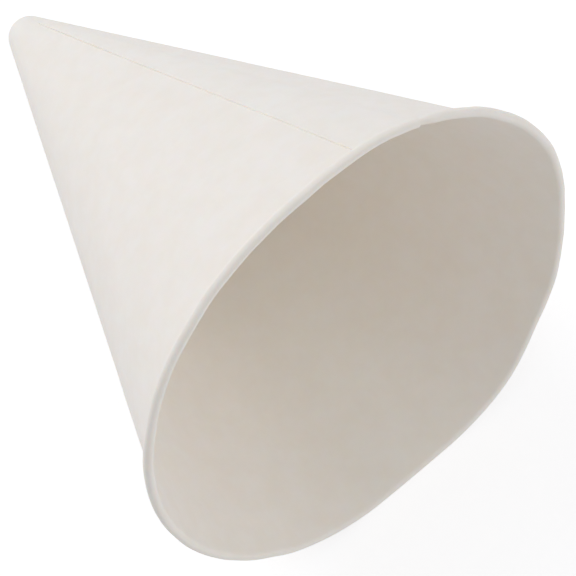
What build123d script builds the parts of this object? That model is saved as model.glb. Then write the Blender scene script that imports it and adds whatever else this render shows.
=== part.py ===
# Paper cone cup, also used as a funnel: one sheet of paper wrapped into a cone, glued along a lap,
# with a closed rounded tip and the mouth's edge rolled outwards into a thin curl.
# Millimetres, +Z up. The cup lies at rest on its side, as it does on a table: the tip points along
# -X, the mouth opens along +X, and the origin is on the table under the middle of its bounding box.
import os
from math import acos, asin, atan2, cos, degrees, hypot, pi, radians, sin, tan

from build123d import *

# Driving dimensions of the cup
rim_diameter = 73.0  # over the curl, when the mouth is held round
height = 86.0  # from the end of the tip to the top of the curl, along the axis
paper = 0.25  # thickness of the sheet
curl_diameter = 1.4  # across the rolled rim
curl_turn = 285.0  # degrees that the sheet turns through in the curl
curl_folds = 9  # equal narrow flats that the tight roll is made of, each about half a millimetre
tip_radius = 3.4  # outside of the closed tip

# The glued lap, measured along the mouth
lap_width = 9.0  # where the sheet lies double
lap_ramp = 2.5  # over which the outer layer climbs onto the inner one
lap_direction = 61.0  # degrees from the side towards the top, where the inner layer ends

# The mouth is not quite round: the side that the cup rests on is pressed almost flat
foot_width = 12.0  # of the flattened side, at the mouth
foot_radius = 300.0  # of the slight curve that is left in the foot
shoulder_tighter = 8.5  # by how much the bends beside the foot are tighter than the round top
shoulder_parts = 4  # short arcs that each of those bends is drawn with

# The roll of the curl, while the mouth is round
curl_radius = curl_diameter / 2
curl_bore = curl_radius - paper
curl_offset = rim_diameter / 2 - curl_radius  # from the cup's axis to the middle of the roll
curl_level = height - curl_radius

# Slope of the wall: its outside touches the bore of the curl and the ball of the tip
span_along = curl_level - tip_radius
span = hypot(curl_offset, span_along)
slope = acos((curl_bore + tip_radius) / span) - atan2(span_along, curl_offset)

# The wall is cut square to the axis a little below the curl, and reaches this far out there
wall_top = curl_level - curl_radius
wall_radius = curl_offset - curl_bore / cos(slope) - curl_radius * tan(slope)

# Working axes of the cup: X to its side, Y to its top as it lies, Z from the tip to the mouth.
# A depth is measured through the paper, from the cup's inside face outwards.


def mouth_arcs():
    """Centre, radius, start and end direction of the tangent arcs of the wall's top edge.

    They run anticlockwise: the round top, a shoulder, the foot and the other shoulder. Together
    they are as long as the round mouth would be, because paper doesn't stretch.
    """
    foot_half = asin(foot_width / 2 / foot_radius)

    def shoulder(radius):
        # Radius of a shoulder, its middle's distance from the cup's plane of symmetry, and how
        # far below the side it meets the round top
        bend = radius - shoulder_tighter
        across = (foot_radius - bend) * sin(foot_half)
        return bend, across, acos(across / shoulder_tighter)

    def girth(radius):
        bend, _, drop = shoulder(radius)
        shoulders = 2 * bend * (pi / 2 - foot_half - drop)
        return radius * (pi + 2 * drop) + shoulders + 2 * foot_radius * foot_half

    # The round top's radius is found by halving the interval that holds it
    low = 0.9 * wall_radius
    high = 1.2 * wall_radius
    for _ in range(50):
        radius = (low + high) / 2
        if girth(radius) > 2 * pi * wall_radius:
            high = radius
        else:
            low = radius

    bend, across, drop = shoulder(radius)
    down = shoulder_tighter * sin(drop)
    foot_up = (foot_radius - bend) * cos(foot_half) - down
    side = degrees(drop)
    foot = degrees(foot_half)
    step = (90 - foot - side) / shoulder_parts
    left = []
    right = []
    for part in range(shoulder_parts):
        start = 180 + side + part * step
        left.append(((-across, -down), bend, start, start + step))
        start = 270 + foot + part * step
        right.append(((across, -down), bend, start, start + step))
    top = ((0, 0), radius, -side, 180 + side)
    bottom = ((0, foot_up), foot_radius, 270 - foot, 270 + foot)
    return [top] + left + [bottom] + right


mouth = mouth_arcs()
top_radius = mouth[0][1]
foot_arc = mouth[1 + shoulder_parts]
foot_drop = foot_arc[1] - foot_arc[0][1]  # from the axis down to the foot


def ball_edge(depth):
    """Radius and level of the circle where the tip's ball meets the wall."""
    ball = tip_radius - paper + depth
    return ball * cos(slope), tip_radius - ball * sin(slope)


def outline(level, spread, grow):
    """Face at a level: the mouth's shape times spread, pushed out all round by grow."""
    arcs = []
    for (x, y), radius, start, end in mouth:
        arcs.append(CenterArc((x * spread, y * spread), radius * spread + grow, start, end - start))
    return Pos(0, 0, level) * make_face(arcs)


def filled_to(depth):
    """Solid cone with its round tip, filled out to a depth of the paper and up to the wall's top."""
    radius, level = ball_edge(depth)
    wall = loft([outline(level, 0, radius), outline(wall_top, 1, (depth - paper) / cos(slope))], ruled=True)
    ball = Pos(0, 0, tip_radius) * Sphere(tip_radius - paper + depth)
    return wall + split(ball, Plane.XY.offset(level), keep=Keep.BOTTOM)


def roll_point(depth, turned):
    """Point in the curl, turned so many degrees from where the straight wall runs into it."""
    radius = curl_radius - depth
    turn = radians(turned) + slope
    middle = curl_offset + top_radius - wall_radius
    return middle - radius * cos(turn), curl_level + radius * sin(turn)


def wall_point(depth):
    """Point at the wall's top, where the curl begins."""
    return top_radius + (depth - paper) / cos(slope), wall_top


def curl_edges(inner, outer):
    """Edges of the curl's section between two depths, from the outer depth round to the inner one."""
    turns = [curl_turn * fold / curl_folds for fold in range(curl_folds + 1)]
    there = [roll_point(outer, turned) for turned in turns]
    back = [roll_point(inner, turned) for turned in reversed(turns)]
    corners = [wall_point(outer)] + there + back + [wall_point(inner)]
    return [Line(start, end) for start, end in zip(corners, corners[1:])]


def curl():
    """The rolled rim: its section turned along each arc of the mouth in turn."""
    section = make_face(curl_edges(0, paper) + [Line(wall_point(0), wall_point(paper))])
    pieces = []
    for (x, y), radius, start, end in mouth:
        upright = Rot(90, 0, 0) * section
        turned = revolve(Pos(radius - top_radius, 0, 0) * upright, Axis.Z, end - start)
        pieces.append(Pos(x, y, 0) * Rot(0, 0, start) * turned)
    return pieces[0] + pieces[1:]


def sheet_section(inner, outer, direction):
    """Section of the whole sheet between two depths, from the ball of the tip to the end of the curl."""
    wall_inside = Line(wall_point(inner), ball_edge(inner))
    wall_end = Line(ball_edge(inner), ball_edge(outer))
    wall_outside = Line(ball_edge(outer), wall_point(outer))
    face = make_face(curl_edges(inner, outer) + [wall_inside, wall_end, wall_outside])
    return Rot(0, 0, direction) * (Rot(90, 0, 0) * face)


def lap_onto(cup):
    """Part the sheet at the lap: the outer layer climbs over the end of the inner one."""
    ramp_turn = degrees(lap_ramp / top_radius)
    lap_turn = degrees(lap_width / top_radius)
    ramp_start = lap_direction - ramp_turn
    # The cut is wider than the sheet on both faces, and the layers share half a sheet's depth
    gap = revolve(sheet_section(-paper / 2, 1.5 * paper, ramp_start), Axis.Z, ramp_turn)
    ramp = loft(
        [sheet_section(0, paper, ramp_start), sheet_section(paper, 2 * paper, lap_direction)], ruled=True
    )
    layer = revolve(sheet_section(paper / 2, 2 * paper, lap_direction), Axis.Z, lap_turn)
    return cup - gap + ramp + layer


def lay_down(cup):
    """Lay the cup on its foot: the curl and the ball of the tip both touch the table."""
    middle = foot_drop + curl_offset - wall_radius
    reach = hypot(middle, span_along)
    tilt = atan2(middle, span_along) - asin((tip_radius - curl_radius) / reach)
    lying = Plane(origin=(0, 0, 0), x_dir=(0, 1, 0), z_dir=(cos(tilt), 0, sin(tilt)))
    cup = lying.location * cup
    box = cup.bounding_box()
    return Pos(-box.center().X, -box.center().Y, -box.min.Z) * cup


cup = filled_to(paper) - filled_to(0) + curl()
cup = lay_down(lap_onto(cup))
os.makedirs("parts", exist_ok=True)
export_step(cup, "parts/paper_cone.step")
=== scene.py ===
"""Paper cone cup, also used as a funnel: one glued sheet with a rolled rim, lying on its side.

The cup is made the way the real one is: a flat blank carries the section of the sheet, and a
Geometry Nodes tree wraps it round the mouth's arcs, bends it slightly and lays it down.
"""

import math
from collections import namedtuple
from types import SimpleNamespace

import bpy
from mathutils import Euler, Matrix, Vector


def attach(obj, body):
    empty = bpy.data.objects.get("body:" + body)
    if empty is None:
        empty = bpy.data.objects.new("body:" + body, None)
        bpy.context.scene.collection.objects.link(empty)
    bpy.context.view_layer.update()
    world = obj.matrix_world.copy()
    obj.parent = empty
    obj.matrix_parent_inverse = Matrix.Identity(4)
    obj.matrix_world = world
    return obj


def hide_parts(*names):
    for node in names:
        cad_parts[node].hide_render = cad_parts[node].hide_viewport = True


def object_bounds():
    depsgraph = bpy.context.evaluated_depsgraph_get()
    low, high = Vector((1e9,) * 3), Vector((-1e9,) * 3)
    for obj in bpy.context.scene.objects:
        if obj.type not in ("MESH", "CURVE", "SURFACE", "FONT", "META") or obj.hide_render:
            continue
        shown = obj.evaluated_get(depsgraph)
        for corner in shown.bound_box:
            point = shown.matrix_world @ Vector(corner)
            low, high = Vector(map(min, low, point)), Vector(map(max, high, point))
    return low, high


bl_info = {
    "name": "Paper Cone Cup",
    "version": (1, 0, 0),
    "blender": (4, 5, 0),
    "location": "View3D > Sidebar > Paper Cone",
    "description": "Makes a paper cone cup with a rolled rim, and a studio to look at it",
    "category": "Add Mesh",
}

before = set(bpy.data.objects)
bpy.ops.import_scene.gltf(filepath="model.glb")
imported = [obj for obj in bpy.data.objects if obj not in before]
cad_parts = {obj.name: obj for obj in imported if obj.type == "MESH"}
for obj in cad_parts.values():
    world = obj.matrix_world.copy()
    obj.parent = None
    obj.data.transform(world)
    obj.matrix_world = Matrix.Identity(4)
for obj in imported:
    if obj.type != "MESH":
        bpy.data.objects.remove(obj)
CAD_LOW, CAD_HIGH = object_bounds()

MM = 0.001

# How finely the blank is divided
BALL_ROWS = 8
WALL_ROWS = 44
CURL_ROWS = 26
COLUMN_WIDTH = 0.9 * MM  # at the mouth
CRISP = 0.04 * MM  # how far apart the two sides of a cut edge lie along the sheet
SHARP_EDGE = math.radians(35)  # edges past this are cut ones and stay sharp, others look smooth

# A row of the blank: how much of the mouth's shape it takes, how far it reaches beyond that, its
# level, the outward direction there as reach and level, and whether the glued lap shows there
Row = namedtuple("Row", "spread reach level out lapped")

# The round top's radius is looked for between these shares of the round mouth's, by halving
TOP_LEAST = 0.9
TOP_MOST = 1.2
HALVINGS = 50

# The sheet's UV map is this many slant lengths wide, and its flat sectors start this far up
MAP_SLANTS = 4.4
MAP_MARGIN = 0.05

# What the flat blank tells of each of its points: its direction round the mouth, how much of the
# mouth's shape it takes, how far it reaches beyond that, and its level along the axis
BLANK_VALUES = ("turn", "spread", "reach", "level")

# How fine the waves and dents are, for a mouth of radius 1, and how much finer detail they carry
WAVE_SCALE = 1.7
RIM_WAVE_SCALE = 1.3
WAVE_DETAIL = 4.0
DENT_SCALE = 3.4
DENT_DETAIL = 2.0

# Where bends end: a lobe by the cosine away from its middle, all of them by the sine of a direction
LOBE_EDGE = 0.6
HELD_BELOW = -0.93
FREE_ABOVE = -0.7

# The paper's texture
CLOUD_WIDTH = 4 * MM
SHRED_SPACING = 9 * MM
SHRED_RADIUS = 0.15 * MM
SHRED_BLUR = 0.06 * MM
TOOTH_WIDTH = 0.35 * MM
TOOTH_DEPTH = 0.012 * MM
COCKLE_DEPTH = 0.05 * MM

# The studio, in metres. The key light hangs beyond the cup's tip and the fill beside its mouth
KEY_PLACE = (-0.95, -0.25, 0.78)
FILL_PLACE = (0.75, 0.6, 0.42)
SOFT_LIGHT_WIDTH = 0.9
TABLE_RADIUS = 0.8
TABLE_CORNERS = 96
CLIP_START = 0.01
WHITE = (1, 1, 1, 1)

# Kinds of node that come up again and again, and the sockets of a Mix node that mixes colours
READ = "GeometryNodeInputNamedAttribute"
MATH = "ShaderNodeMath"
RANGE = "ShaderNodeMapRange"
NOISE = "ShaderNodeTexNoise"
COMBINE = "ShaderNodeCombineXYZ"
SWITCH = "GeometryNodeSwitch"
MIX = "ShaderNodeMix"
MIX_FACTOR, MIX_A, MIX_B = 0, 6, 7
MIX_RESULT = 2


def linear(code):
    """Linear colour, with alpha, of an sRGB hex code."""
    values = [int(code[place : place + 2], 16) / 255 for place in (0, 2, 4)]
    red, green, blue = [v / 12.92 if v <= 0.04045 else ((v + 0.055) / 1.055) ** 2.4 for v in values]
    return red, green, blue, 1


def add_node(tree, kind, inputs=(), **settings):
    """Add a node with its settings, set or link its inputs, and return its outputs."""
    node = tree.nodes.new(kind)
    for setting, value in settings.items():
        setattr(node, setting, value)
    for socket, value in dict(inputs).items():
        if isinstance(value, bpy.types.NodeSocket):
            tree.links.new(value, node.inputs[socket])
        else:
            node.inputs[socket].default_value = value
    return node.outputs


def seen_rays(tree):
    """1 for what the eye sees, straight or in gloss and glass, and 0 for light that falls."""
    path = add_node(tree, "ShaderNodeLightPath")
    inputs = {0: path["Is Camera Ray"], 1: path["Is Glossy Ray"]}
    seen = add_node(tree, MATH, inputs, operation="ADD")[0]
    inputs = {0: seen, 1: path["Is Transmission Ray"]}
    return add_node(tree, MATH, inputs, operation="ADD", use_clamp=True)[0]


class ConeSizes(bpy.types.PropertyGroup):
    """Sizes of the cup, the same as the solid's."""

    rim_diameter: bpy.props.FloatProperty(
        name="Rim diameter",
        description="Over the rolled rim, when the mouth is held round",
        default=73 * MM,
        unit="LENGTH",
    )
    height: bpy.props.FloatProperty(
        name="Height",
        description="From the end of the tip to the top of the rolled rim, along the axis",
        default=86 * MM,
        unit="LENGTH",
    )
    paper: bpy.props.FloatProperty(
        name="Paper", description="Thickness of the sheet", default=0.25 * MM, unit="LENGTH"
    )
    curl_diameter: bpy.props.FloatProperty(
        name="Curl diameter",
        description="Across the rolled rim",
        default=1.4 * MM,
        unit="LENGTH",
    )
    curl_turn: bpy.props.FloatProperty(
        name="Curl turn",
        description="Angle that the sheet turns through in the rolled rim",
        default=math.radians(285),
        subtype="ANGLE",
    )
    tip_radius: bpy.props.FloatProperty(
        name="Tip radius",
        description="Outside of the closed tip",
        default=3.4 * MM,
        unit="LENGTH",
    )
    lap_width: bpy.props.FloatProperty(
        name="Lap width",
        description="Where the sheet lies double at the mouth",
        default=9 * MM,
        unit="LENGTH",
    )
    lap_ramp: bpy.props.FloatProperty(
        name="Lap ramp",
        description="Over which the outer layer climbs onto the inner one",
        default=2.5 * MM,
        unit="LENGTH",
    )
    lap_direction: bpy.props.FloatProperty(
        name="Lap direction",
        description="From the side towards the top, where the inner layer ends",
        default=math.radians(61),
        subtype="ANGLE",
    )
    lap_start: bpy.props.FloatProperty(
        name="Lap start",
        description="From the end of the tip, where the corner of the glued flap begins",
        default=6.5 * MM,
        unit="LENGTH",
    )
    foot_width: bpy.props.FloatProperty(
        name="Foot width",
        description="Of the side that the cup rests on, at the mouth",
        default=12 * MM,
        unit="LENGTH",
    )
    foot_radius: bpy.props.FloatProperty(
        name="Foot radius",
        description="Of the slight curve that is left in the foot",
        default=300 * MM,
        unit="LENGTH",
    )
    shoulder_tighter: bpy.props.FloatProperty(
        name="Shoulder tighter",
        description="By how much the bends beside the foot are tighter than the round top",
        default=8.5 * MM,
        unit="LENGTH",
    )


class ConeWear(bpy.types.PropertyGroup):
    """How this one cup has been bent out of round by being handled."""

    bulge: bpy.props.FloatProperty(
        name="Bulge", description="Outwards at the mouth", default=1.2 * MM, unit="LENGTH"
    )
    bulge_direction: bpy.props.FloatProperty(
        name="Bulge direction",
        description="From the side towards the top",
        default=math.radians(40),
        subtype="ANGLE",
    )
    dip: bpy.props.FloatProperty(
        name="Dip", description="Inwards at the mouth", default=0.6 * MM, unit="LENGTH"
    )
    dip_direction: bpy.props.FloatProperty(
        name="Dip direction",
        description="From the side towards the top",
        default=math.radians(-22),
        subtype="ANGLE",
    )
    wave: bpy.props.FloatProperty(
        name="Wave",
        description="Height of the slow waves that run from the tip to the mouth",
        default=0.35 * MM,
        unit="LENGTH",
    )
    rim_wave: bpy.props.FloatProperty(
        name="Rim wave",
        description="How far the rim wanders along the axis",
        default=0.5 * MM,
        unit="LENGTH",
    )
    dent: bpy.props.FloatProperty(
        name="Dent", description="Depth of the faint dents", default=0.1 * MM, unit="LENGTH"
    )
    seed: bpy.props.FloatProperty(
        name="Seed", description="Picks another set of waves and dents", default=3.7
    )


class PaperFinish(bpy.types.PropertyGroup):
    """Colours of the paper."""

    sheet: bpy.props.FloatVectorProperty(
        name="Sheet",
        description="Where the fibres lie dense",
        subtype="COLOR",
        size=4,
        default=linear("F5EEE3"),
    )
    cloud: bpy.props.FloatVectorProperty(
        name="Cloud",
        description="Where the fibres lie thin",
        subtype="COLOR",
        size=4,
        default=linear("F3EBDE"),
    )
    speck: bpy.props.FloatVectorProperty(
        name="Speck",
        description="Shreds of bark and unbleached fibre",
        subtype="COLOR",
        size=4,
        default=linear("B7A48A"),
    )


class StudioSettings(bpy.types.PropertyGroup):
    """Where the camera stands and how the light falls."""

    azimuth: bpy.props.FloatProperty(
        name="Azimuth",
        description="Of the camera round the cup, 0 looks along +Y and 90 along -X",
        default=math.radians(49.5),
        subtype="ANGLE",
    )
    elevation: bpy.props.FloatProperty(
        name="Elevation",
        description="Of the camera above the horizon",
        default=math.radians(71.7),
        subtype="ANGLE",
    )
    distance: bpy.props.FloatProperty(
        name="Distance",
        description="From the camera to what it looks at",
        default=377 * MM,
        unit="LENGTH",
    )
    aim: bpy.props.FloatVectorProperty(
        name="Aim",
        description="How far right of the cup's middle, and above it, the camera looks",
        size=2,
        default=(11.4 * MM, -16.6 * MM),
        unit="LENGTH",
    )
    lens: bpy.props.FloatProperty(
        name="Lens", description="Focal length in millimetres", default=170, unit="CAMERA"
    )
    key_power: bpy.props.FloatProperty(
        name="Key power",
        description="Watts of the soft light beyond the tip",
        default=6.6,
        unit="POWER",
    )
    fill_power: bpy.props.FloatProperty(
        name="Fill power",
        description="Watts of the soft light beside the mouth",
        default=2.65,
        unit="POWER",
    )
    tint: bpy.props.FloatVectorProperty(
        name="Tint",
        description="Colour of the light, faintly cool as daylight is",
        subtype="COLOR",
        size=4,
        default=linear("F3F6FE"),
    )
    ambient: bpy.props.FloatProperty(
        name="Ambient", description="Strength of the light from all round", default=0.6
    )
    table_paint: bpy.props.FloatVectorProperty(
        name="Table paint",
        description="Colour that the table lends to the light it throws back",
        subtype="COLOR",
        size=4,
        default=linear("E8E6E3"),
    )
    table_shade: bpy.props.FloatVectorProperty(
        name="Table shade",
        description="Colour by which the table shows the shadow on it",
        subtype="COLOR",
        size=4,
        default=linear("B9B7B4"),
    )
    table_glow: bpy.props.FloatProperty(
        name="Table glow",
        description="What is added to the table as seen, up to white",
        default=0.66,
    )


def cup_geometry(sizes):
    """Slope, levels, arcs of the mouth and tilt that follow from the driving sizes."""
    cone = SimpleNamespace()
    cone.curl_radius = sizes.curl_diameter / 2
    curl_bore = cone.curl_radius - sizes.paper
    cone.curl_offset = sizes.rim_diameter / 2 - cone.curl_radius
    cone.curl_level = sizes.height - cone.curl_radius

    # The outside of the wall is tangent to the ball of the tip and to the bore of the curl
    span_along = cone.curl_level - sizes.tip_radius
    span = math.hypot(cone.curl_offset, span_along)
    span_turn = math.atan2(span_along, cone.curl_offset)
    cone.slope = math.acos((curl_bore + sizes.tip_radius) / span) - span_turn
    cone.wall_top = cone.curl_level - cone.curl_radius
    wall_inset = curl_bore / math.cos(cone.slope) + cone.curl_radius * math.tan(cone.slope)
    cone.wall_radius = cone.curl_offset - wall_inset

    # The mouth is made of tangent arcs: a round top, a nearly flat foot and a tighter bend between
    cone.foot_half = math.asin(sizes.foot_width / 2 / sizes.foot_radius)

    def arcs(radius):
        """The bends' radius and middle, where they meet the top, and the mouth's girth."""
        bend = radius - sizes.shoulder_tighter
        across = (sizes.foot_radius - bend) * math.sin(cone.foot_half)
        drop = math.acos(across / sizes.shoulder_tighter)
        shoulders = 2 * bend * (math.pi / 2 - cone.foot_half - drop)
        feet = 2 * sizes.foot_radius * cone.foot_half
        return bend, across, drop, radius * (math.pi + 2 * drop) + shoulders + feet

    # Paper doesn't stretch, so the round top has the radius that keeps the round mouth's girth
    low = TOP_LEAST * cone.wall_radius
    high = TOP_MOST * cone.wall_radius
    for _ in range(HALVINGS):
        cone.top_radius = (low + high) / 2
        if arcs(cone.top_radius)[3] > 2 * math.pi * cone.wall_radius:
            high = cone.top_radius
        else:
            low = cone.top_radius

    cone.bend_radius, cone.bend_across, cone.drop, _ = arcs(cone.top_radius)
    cone.bend_rise = -sizes.shoulder_tighter * math.sin(cone.drop)
    foot_to_bend = (sizes.foot_radius - cone.bend_radius) * math.cos(cone.foot_half)
    cone.foot_rise = foot_to_bend + cone.bend_rise

    # The cup lies on the curl of its foot and on the ball of its tip
    curl_down = sizes.foot_radius - cone.foot_rise + cone.curl_offset - cone.wall_radius
    apart = math.hypot(curl_down, span_along)
    fall = math.asin((sizes.tip_radius - cone.curl_radius) / apart)
    cone.tilt = math.atan2(curl_down, span_along) - fall
    cone.place = (
        CAD_LOW.x + sizes.tip_radius * (1 - math.cos(cone.tilt)),
        0,
        sizes.tip_radius * (1 - math.sin(cone.tilt)),
    )
    return cone


def face_rows(sizes, cone, depth):
    """Rows of one face of the sheet, from the tip to the end of the curl.

    The depth is measured through the paper, from the cup's inside face outwards.
    """
    rows = []
    # The ball of the tip, up to where the wall leaves it
    ball = sizes.tip_radius - sizes.paper + depth
    tangent = math.pi / 2 - cone.slope
    for number in range(1, BALL_ROWS):
        turn = tangent * number / BALL_ROWS
        out = (math.sin(turn), -math.cos(turn))
        rows.append(Row(0, ball * out[0], sizes.tip_radius + ball * out[1], out, False))

    # The straight wall, with two rows close together where the glued flap begins
    low_reach = ball * math.cos(cone.slope)
    low_level = sizes.tip_radius - ball * math.sin(cone.slope)
    top_reach = (depth - sizes.paper) / math.cos(cone.slope)
    corner = (sizes.lap_start - low_level) / (cone.wall_top - low_level)
    spreads = [number / WALL_ROWS for number in range(WALL_ROWS + 1)]
    spreads += [corner, corner + CRISP / cone.wall_top]
    out = (math.cos(cone.slope), -math.sin(cone.slope))
    for spread in sorted(spreads):
        reach = (1 - spread) * low_reach + spread * top_reach
        level = (1 - spread) * low_level + spread * cone.wall_top
        rows.append(Row(spread, reach, level, out, spread > corner))

    # The curl, outwards and down
    radius = cone.curl_radius - depth
    for number in range(CURL_ROWS + 1):
        turn = sizes.curl_turn * number / CURL_ROWS + cone.slope
        out = (math.cos(turn), -math.sin(turn))
        reach = cone.curl_offset - cone.wall_radius - radius * out[0]
        rows.append(Row(1, reach, cone.curl_level - radius * out[1], out, True))
    return rows


def columns(sizes, cone):
    """Columns of the blank: direction round the mouth, and the lap's lift of each face there."""
    ramp_start = sizes.lap_direction - sizes.lap_ramp / cone.top_radius
    lap_end = sizes.lap_direction + sizes.lap_width / cone.top_radius
    crisp = CRISP / cone.top_radius
    paper = sizes.paper
    # Direction, radius of the arc that starts there, lift of the inside and of the outside face
    stops = [
        (ramp_start, cone.top_radius, 0, 0),
        (sizes.lap_direction, cone.top_radius, paper, paper),
        (sizes.lap_direction + crisp, cone.top_radius, 0, paper),
        (lap_end, cone.top_radius, 0, paper),
        (lap_end + crisp, cone.top_radius, 0, 0),
        (math.pi + cone.drop, cone.bend_radius, 0, 0),
        (1.5 * math.pi - cone.foot_half, sizes.foot_radius, 0, 0),
        (1.5 * math.pi + cone.foot_half, cone.bend_radius, 0, 0),
        (2 * math.pi - cone.drop, cone.top_radius, 0, 0),
        (2 * math.pi + ramp_start, cone.top_radius, 0, 0),
    ]
    made = []
    for (start, radius, *lifts), (end, _, *next_lifts) in zip(stops, stops[1:]):
        parts = max(1, round((end - start) * radius / COLUMN_WIDTH))
        for part in range(parts):
            share = part / parts
            lift = [(1 - share) * a + share * b for a, b in zip(lifts, next_lifts)]
            made.append((start + share * (end - start), lift))
    return made


def make_blank(sizes, cone):
    """Mesh of the sheet laid out flat, whose attributes say where the nodes take each point.

    Its rows run from the inside of the tip, over the curl and down the outside to the tip's end.
    The two faces of the sheet lie side by side on the UV map, as a flat sector each.
    """
    inside = face_rows(sizes, cone, 0)
    outside = face_rows(sizes, cone, sizes.paper)
    rows = inside + outside[::-1]
    around = columns(sizes, cone)
    count = len(around)

    points = []
    for number, row in enumerate(rows):
        face = 0 if number < len(inside) else 1
        for turn, lifts in around:
            lift = lifts[face] if row.lapped else 0
            reach = row.reach + lift * row.out[0]
            points.append((turn, row.spread, reach, row.level + lift * row.out[1]))
    # The middle of the tip, inside and outside
    points += [(0, 0, 0, sizes.paper), (0, 0, 0, 0)]

    # Distance of each row from the tip's inside, along the sheet
    along = [0]
    for before, row in zip(rows, rows[1:]):
        out = (row.spread - before.spread) * cone.wall_radius + row.reach - before.reach
        along.append(along[-1] + math.hypot(out, row.level - before.level))
    map_width = MAP_SLANTS * along[-1] / 2
    sector = math.sin(cone.slope)

    def flat(number, turn):
        """Place on the UV map, whose left half holds the inside and its right half the outside."""
        inner = number < len(inside)
        length = along[number] if inner else along[-1] - along[number]
        x = length * math.sin((turn - math.pi) * sector)
        y = length * math.cos((turn - math.pi) * sector)
        return (0.25 if inner else 0.75) + x / map_width, MAP_MARGIN + y / map_width

    faces = []
    corners = []
    turns = [turn for turn, _ in around] + [around[0][0] + 2 * math.pi]
    last = len(rows) - 1
    for column in range(count):
        after = (column + 1) % count
        here, there = turns[column], turns[column + 1]
        for number in range(last):
            low, high = number * count, (number + 1) * count
            faces.append((low + column, high + column, high + after, low + after))
            corners += [flat(number, here), flat(number + 1, here)]
            corners += [flat(number + 1, there), flat(number, there)]
        faces.append((len(rows) * count, column, after))
        corners += [flat(0, here), flat(0, here), flat(0, there)]
        faces.append((len(rows) * count + 1, last * count + after, last * count + column))
        corners += [flat(last, there), flat(last, there), flat(last, here)]

    mesh = bpy.data.meshes.new("paper_blank")
    mesh.from_pydata([(turn * cone.wall_radius, level, 0) for turn, *_, level in points], [], faces)
    for name, numbers in zip(BLANK_VALUES, zip(*points)):
        mesh.attributes.new(name, "FLOAT", "POINT").data.foreach_set("value", numbers)
    layer = mesh.uv_layers.new(name="sheet")
    layer.uv.foreach_set("vector", [value for corner in corners for value in corner])
    return mesh


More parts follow.
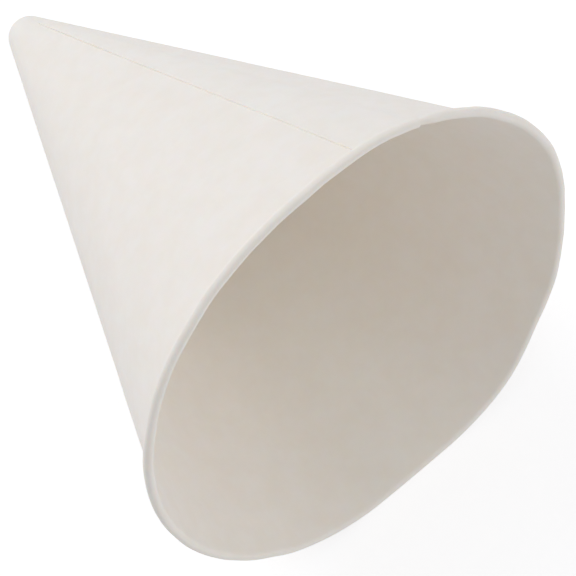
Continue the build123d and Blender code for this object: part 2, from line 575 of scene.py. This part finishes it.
def wrap_tree():
    """Geometry Nodes tree that wraps the blank round the mouth's arcs and lays the cup down."""
    tree = bpy.data.node_groups.new("Wrap a paper blank into a cone", "GeometryNodeTree")
    sockets = tree.interface
    sockets.new_socket("Geometry", in_out="INPUT", socket_type="NodeSocketGeometry")
    sockets.new_socket("Geometry", in_out="OUTPUT", socket_type="NodeSocketGeometry")
    for name in (
        "Top Radius",
        "Bend Radius",
        "Bend Across",
        "Bend Rise",
        "Foot Radius",
        "Foot Rise",
        "Bend Below",
        "Foot Below",
        "Bulge",
        "Bulge Direction",
        "Dip",
        "Dip Direction",
        "Wave",
        "Rim Wave",
        "Dent",
        "Seed",
        "Tilt",
    ):
        sockets.new_socket(name, in_out="INPUT", socket_type="NodeSocketFloat")
    sockets.new_socket("Place", in_out="INPUT", socket_type="NodeSocketVector")
    sockets.new_socket("Material", in_out="INPUT", socket_type="NodeSocketMaterial")
    given = add_node(tree, "NodeGroupInput")

    turn, spread, reach, level = [
        add_node(tree, READ, {"Name": name}, data_type="FLOAT")["Attribute"]
        for name in BLANK_VALUES
    ]
    side = add_node(tree, MATH, {0: turn}, operation="COSINE")[0]
    up = add_node(tree, MATH, {0: turn}, operation="SINE")[0]

    # Radius and middle of the arc that a point belongs to: the round top, a bend or the foot
    on_bend = add_node(tree, MATH, {0: up, 1: given["Bend Below"]}, operation="LESS_THAN")[0]
    on_foot = add_node(tree, MATH, {0: up, 1: given["Foot Below"]}, operation="LESS_THAN")[0]
    hand = add_node(tree, MATH, {0: side}, operation="SIGN")[0]
    inputs = {0: hand, 1: given["Bend Across"]}
    bend_side = add_node(tree, MATH, inputs, operation="MULTIPLY")[0]
    arc = []
    for top, bend, foot in (
        (given["Top Radius"], given["Bend Radius"], given["Foot Radius"]),
        (0.0, bend_side, 0.0),
        (0.0, given["Bend Rise"], given["Foot Rise"]),
    ):
        inputs = {"Switch": on_bend, "False": top, "True": bend}
        above = add_node(tree, SWITCH, inputs, input_type="FLOAT")[0]
        inputs = {"Switch": on_foot, "False": above, "True": foot}
        arc.append(add_node(tree, SWITCH, inputs, input_type="FLOAT")[0])
    radius, middle_side, middle_up = arc

    # Waves are read round the mouth, so that straight lines from the tip stay straight, as they
    # do when a sheet bends, and dents are read at the place on the cone. Both are the same for the
    # two faces of the sheet
    rim_place = add_node(tree, COMBINE, {"X": side, "Y": up})[0]
    inputs = {"Z": spread}
    for axis, value in (("X", side), ("Y", up)):
        inputs[axis] = add_node(tree, MATH, {0: value, 1: spread}, operation="MULTIPLY")[0]
    place = add_node(tree, COMBINE, inputs)[0]
    waves = {}
    for name, where, scale, detail in (
        ("Wave", rim_place, WAVE_SCALE, WAVE_DETAIL),
        ("Rim Wave", rim_place, RIM_WAVE_SCALE, WAVE_DETAIL),
        ("Dent", place, DENT_SCALE, DENT_DETAIL),
    ):
        inputs = {"Vector": where, "W": given["Seed"], "Scale": scale, "Detail": detail}
        wave = add_node(tree, NOISE, inputs, noise_dimensions="4D", normalize=False)[0]
        waves[name] = add_node(tree, MATH, {0: wave, 1: given[name]}, operation="MULTIPLY")[0]

    bent = add_node(tree, MATH, {0: waves["Wave"], 1: waves["Dent"]}, operation="ADD")[0]
    for name in ("Bulge", "Dip"):
        inputs = {0: turn, 1: given[name + " Direction"]}
        away = add_node(tree, MATH, inputs, operation="SUBTRACT")[0]
        facing = add_node(tree, MATH, {0: away}, operation="COSINE")[0]
        inputs = {"Value": facing, "From Min": LOBE_EDGE}
        lobe = add_node(tree, RANGE, inputs, interpolation_type="SMOOTHSTEP")[0]
        inputs = {0: lobe, 1: given[name], 2: bent}
        bent = add_node(tree, MATH, inputs, operation="MULTIPLY_ADD")[0]

    # Nothing bends at the tip, nor where the cup rests on its foot
    inputs = {"Value": up, "From Min": HELD_BELOW, "From Max": FREE_ABOVE, "To Max": spread}
    free = add_node(tree, RANGE, inputs, interpolation_type="SMOOTHSTEP")[0]
    free_rim = add_node(tree, MATH, {0: free, 1: spread}, operation="MULTIPLY")[0]

    out = add_node(tree, MATH, {0: bent, 1: free, 2: reach}, operation="MULTIPLY_ADD")[0]
    out = add_node(tree, MATH, {0: radius, 1: spread, 2: out}, operation="MULTIPLY_ADD")[0]
    inputs = {0: waves["Rim Wave"], 1: free_rim, 2: level}
    axes = {"X": add_node(tree, MATH, inputs, operation="MULTIPLY_ADD")[0]}
    for axis, direction, middle in (("Y", side, middle_side), ("Z", up, middle_up)):
        moved = add_node(tree, MATH, {0: middle, 1: spread}, operation="MULTIPLY")[0]
        inputs = {0: out, 1: direction, 2: moved}
        axes[axis] = add_node(tree, MATH, inputs, operation="MULTIPLY_ADD")[0]
    point = add_node(tree, COMBINE, axes)[0]

    # Laid down on its foot and its tip
    inputs = {"Vector": point, "Angle": given["Tilt"]}
    turned = {"rotation_type": "Y_AXIS", "invert": True}
    point = add_node(tree, "ShaderNodeVectorRotate", inputs, **turned)[0]
    inputs = {0: point, 1: given["Place"]}
    point = add_node(tree, "ShaderNodeVectorMath", inputs, operation="ADD")[0]
    inputs = {"Geometry": given["Geometry"], "Position": point}
    cup = add_node(tree, "GeometryNodeSetPosition", inputs)[0]
    cup = add_node(tree, "GeometryNodeRealizeInstances", {"Geometry": cup})[0]
    inputs = {"Geometry": cup, "Material": given["Material"]}
    cup = add_node(tree, "GeometryNodeSetMaterial", inputs)[0]
    add_node(tree, "NodeGroupOutput", {"Geometry": cup})
    return tree


def paper_material(finish):
    """Uncoated white paper, machine made and calendered: dull, warm white and faintly cloudy.

    The eye gets a soft matt white without a highlight, clouds a few millimetres wide where the
    fibres lie thicker or thinner, a very fine tooth, and a rare speck.
    """
    material = bpy.data.materials.new("uncoated white paper")
    material.use_nodes = True
    tree = material.node_tree
    tree.nodes.clear()
    place = add_node(tree, "ShaderNodeTexCoord")["Object"]

    # Clouds where the fibres lie denser or thinner
    inputs = {"Vector": place, "Scale": 1 / CLOUD_WIDTH, "Detail": 4.0, "Roughness": 0.65}
    cloud = add_node(tree, NOISE, inputs)[0]
    thin = add_node(tree, RANGE, {"Value": cloud, "From Min": 0.35, "From Max": 0.65})[0]
    inputs = {MIX_FACTOR: thin, MIX_A: finish.sheet, MIX_B: finish.cloud}
    colour = add_node(tree, MIX, inputs, data_type="RGBA")[MIX_RESULT]

    # A shred of unbleached fibre, up to 0.3 mm across, in some cells of the sheet
    inputs = {"Vector": place, "Scale": 1 / SHRED_SPACING}
    cells = add_node(tree, "ShaderNodeTexVoronoi", inputs)
    share = add_node(tree, "ShaderNodeSeparateColor", {"Color": cells["Color"]})[0]
    inputs = {"Value": share, "From Min": 0.55, "To Max": SHRED_RADIUS / SHRED_SPACING}
    size = add_node(tree, RANGE, inputs)[0]
    shred = add_node(tree, MATH, {0: size, 1: cells["Distance"]}, operation="SUBTRACT")[0]
    inputs = {"Value": shred, "From Max": SHRED_BLUR / SHRED_SPACING, "To Max": 0.6}
    shred = add_node(tree, RANGE, inputs)[0]
    inputs = {MIX_FACTOR: shred, MIX_A: colour, MIX_B: finish.speck}
    colour = add_node(tree, MIX, inputs, data_type="RGBA")[MIX_RESULT]

    # Tooth of matted fibres, drawn coarser than the real 0.03 mm so that it shows, over a slow
    # cockle that the sheet has from drying, where its clouds are
    inputs = {"Vector": place, "Scale": 1 / TOOTH_WIDTH, "Detail": 3.0, "Roughness": 0.7}
    tooth = add_node(tree, NOISE, inputs)[0]
    inputs = {"Height": tooth, "Strength": 0.35, "Distance": TOOTH_DEPTH}
    tooth = add_node(tree, "ShaderNodeBump", inputs)[0]
    inputs = {"Height": cloud, "Strength": 0.5, "Distance": COCKLE_DEPTH, "Normal": tooth}
    cockle = add_node(tree, "ShaderNodeBump", inputs)[0]

    # Light soaks into the sheet and comes out warmer, which shows most inside the cone
    inputs = {
        "Base Color": colour,
        "Roughness": 0.85,
        "Specular IOR Level": 0.3,
        "Subsurface Weight": 0.7,
        "Subsurface Radius": (1.0, 0.8, 0.6),
        "Subsurface Scale": 0.12 * MM,
        "Normal": cockle,
    }
    shader = add_node(tree, "ShaderNodeBsdfPrincipled", inputs)[0]
    add_node(tree, "ShaderNodeOutputMaterial", {"Surface": shader})
    return material


def table_material(studio):
    """Sprayed matt white board, the plain ground that the cup lies on.

    The eye gets white without a gloss, with half of the shadow that falls on it.
    """
    material = bpy.data.materials.new("matt white table")
    material.use_nodes = True
    tree = material.node_tree
    tree.nodes.clear()
    seen = seen_rays(tree)
    paint = add_node(tree, "ShaderNodeBsdfDiffuse", {"Color": studio.table_paint})[0]
    shade = add_node(tree, "ShaderNodeBsdfDiffuse", {"Color": studio.table_shade})[0]
    surface = add_node(tree, "ShaderNodeMixShader", {0: seen, 1: paint, 2: shade})[0]
    glow = add_node(tree, MATH, {0: seen, 1: studio.table_glow}, operation="MULTIPLY")[0]
    glow = add_node(tree, "ShaderNodeEmission", {"Color": WHITE, "Strength": glow})[0]
    surface = add_node(tree, "ShaderNodeAddShader", {0: surface, 1: glow})[0]
    add_node(tree, "ShaderNodeOutputMaterial", {"Surface": surface})
    return material


class CONE_OT_cup(bpy.types.Operator):
    """Make the paper cone cup in place of its plain solid"""

    bl_idname = "paper_cone.cup"
    bl_label = "Make the Cup"

    def execute(self, context):
        sizes = context.scene.cone_sizes
        wear = context.scene.cone_wear
        cone = cup_geometry(sizes)
        cup = bpy.data.objects.new("paper_cup", make_blank(sizes, cone))
        context.collection.objects.link(cup)

        modifier = cup.modifiers.new("Wrap", "NODES")
        modifier.node_group = wrap_tree()
        values = {
            "Top Radius": cone.top_radius,
            "Bend Radius": cone.bend_radius,
            "Bend Across": cone.bend_across,
            "Bend Rise": cone.bend_rise,
            "Foot Radius": sizes.foot_radius,
            "Foot Rise": cone.foot_rise,
            "Bend Below": -math.sin(cone.drop),
            "Foot Below": -math.cos(cone.foot_half),
            "Bulge": wear.bulge,
            "Bulge Direction": wear.bulge_direction,
            "Dip": -wear.dip,
            "Dip Direction": wear.dip_direction,
            "Wave": wear.wave,
            "Rim Wave": wear.rim_wave,
            "Dent": wear.dent,
            "Seed": wear.seed,
            "Tilt": cone.tilt,
            "Place": cone.place,
            "Material": paper_material(context.scene.paper_finish),
        }
        for socket in modifier.node_group.interface.items_tree:
            if socket.in_out == "INPUT" and socket.name in values:
                modifier[socket.identifier] = values[socket.name]

        graph = context.evaluated_depsgraph_get()
        mesh = bpy.data.meshes.new_from_object(
            cup.evaluated_get(graph), preserve_all_data_layers=True, depsgraph=graph
        )
        cup.modifiers.clear()
        cup.data = mesh
        mesh.shade_smooth()
        mesh.set_sharp_from_angle(angle=SHARP_EDGE)

        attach(cup, "root")
        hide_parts("paper_cone")
        return {"FINISHED"}


class CONE_OT_studio(bpy.types.Operator):
    """Make the white table, the soft lights, the world and the camera"""

    bl_idname = "paper_cone.studio"
    bl_label = "Make the Studio"

    def execute(self, context):
        studio = context.scene.cone_studio
        self.make_table(context, studio)
        self.make_lights(context, studio)
        self.make_world(context, studio)
        self.make_camera(context, studio)
        return {"FINISHED"}

    def make_table(self, context, studio):
        mesh = bpy.data.meshes.new("table")
        turns = [2 * math.pi * corner / TABLE_CORNERS for corner in range(TABLE_CORNERS)]
        corners = [(TABLE_RADIUS * math.cos(t), TABLE_RADIUS * math.sin(t), 0) for t in turns]
        mesh.from_pydata(corners, [], [range(TABLE_CORNERS)])
        table = bpy.data.objects.new("table", mesh)
        context.collection.objects.link(table)
        mesh.materials.append(table_material(studio))

    def make_lights(self, context, studio):
        for name, power, place in (
            ("key", studio.key_power, KEY_PLACE),
            ("fill", studio.fill_power, FILL_PLACE),
        ):
            data = bpy.data.lights.new(name, "AREA")
            data.shape = "DISK"
            data.size = SOFT_LIGHT_WIDTH
            data.energy = power
            data.color = studio.tint[:3]
            light = bpy.data.objects.new(name, data)
            context.collection.objects.link(light)
            light.location = place
            # It looks at the origin, under the middle of the cup
            light.rotation_euler = light.location.to_track_quat("Z", "Y").to_euler()

    def make_world(self, context, studio):
        world = bpy.data.worlds.new("studio")
        context.scene.world = world
        world.use_nodes = True
        tree = world.node_tree
        tree.nodes.clear()
        seen = seen_rays(tree)
        strength = add_node(tree, RANGE, {"Value": seen, "To Min": studio.ambient})[0]
        inputs = {MIX_FACTOR: seen, MIX_A: studio.tint, MIX_B: WHITE}
        colour = add_node(tree, MIX, inputs, data_type="RGBA")[MIX_RESULT]
        sky = add_node(tree, "ShaderNodeBackground", {"Color": colour, "Strength": strength})[0]
        add_node(tree, "ShaderNodeOutputWorld", {"Surface": sky})

    def make_camera(self, context, studio):
        turn = Euler((math.pi / 2 - studio.elevation, 0, studio.azimuth)).to_matrix()
        place = (CAD_LOW + CAD_HIGH) / 2 + turn @ Vector((*studio.aim, studio.distance))
        data = bpy.data.cameras.new("camera")
        data.lens = studio.lens
        data.clip_start = CLIP_START
        camera = bpy.data.objects.new("camera", data)
        context.collection.objects.link(camera)
        camera.location = place
        camera.rotation_euler = turn.to_euler()
        context.scene.camera = camera
        context.scene.view_settings.view_transform = "Standard"


class CONE_PT_panel(bpy.types.Panel):
    """Makes the cup and its studio"""

    bl_idname = "CONE_PT_panel"
    bl_label = "Paper Cone Cup"
    bl_space_type = "VIEW_3D"
    bl_region_type = "UI"
    bl_category = "Paper Cone"

    def draw(self, context):
        scene = context.scene
        for group in (scene.cone_sizes, scene.cone_wear, scene.paper_finish, scene.cone_studio):
            box = self.layout.box()
            for name in group.bl_rna.properties.keys():
                if name not in ("rna_type", "name"):
                    box.prop(group, name)
        self.layout.operator(CONE_OT_cup.bl_idname)
        self.layout.operator(CONE_OT_studio.bl_idname)


CLASSES = (
    ConeSizes,
    ConeWear,
    PaperFinish,
    StudioSettings,
    CONE_OT_cup,
    CONE_OT_studio,
    CONE_PT_panel,
)


def register():
    for cls in CLASSES:
        bpy.utils.register_class(cls)
    scene = bpy.types.Scene
    scene.cone_sizes = bpy.props.PointerProperty(type=ConeSizes)
    scene.cone_wear = bpy.props.PointerProperty(type=ConeWear)
    scene.paper_finish = bpy.props.PointerProperty(type=PaperFinish)
    scene.cone_studio = bpy.props.PointerProperty(type=StudioSettings)


def unregister():
    scene = bpy.types.Scene
    del scene.cone_sizes, scene.cone_wear, scene.paper_finish, scene.cone_studio
    for cls in reversed(CLASSES):
        bpy.utils.unregister_class(cls)


def main():
    register()
    bpy.ops.paper_cone.cup()
    bpy.ops.paper_cone.studio()


if __name__ == "__main__":
    main()
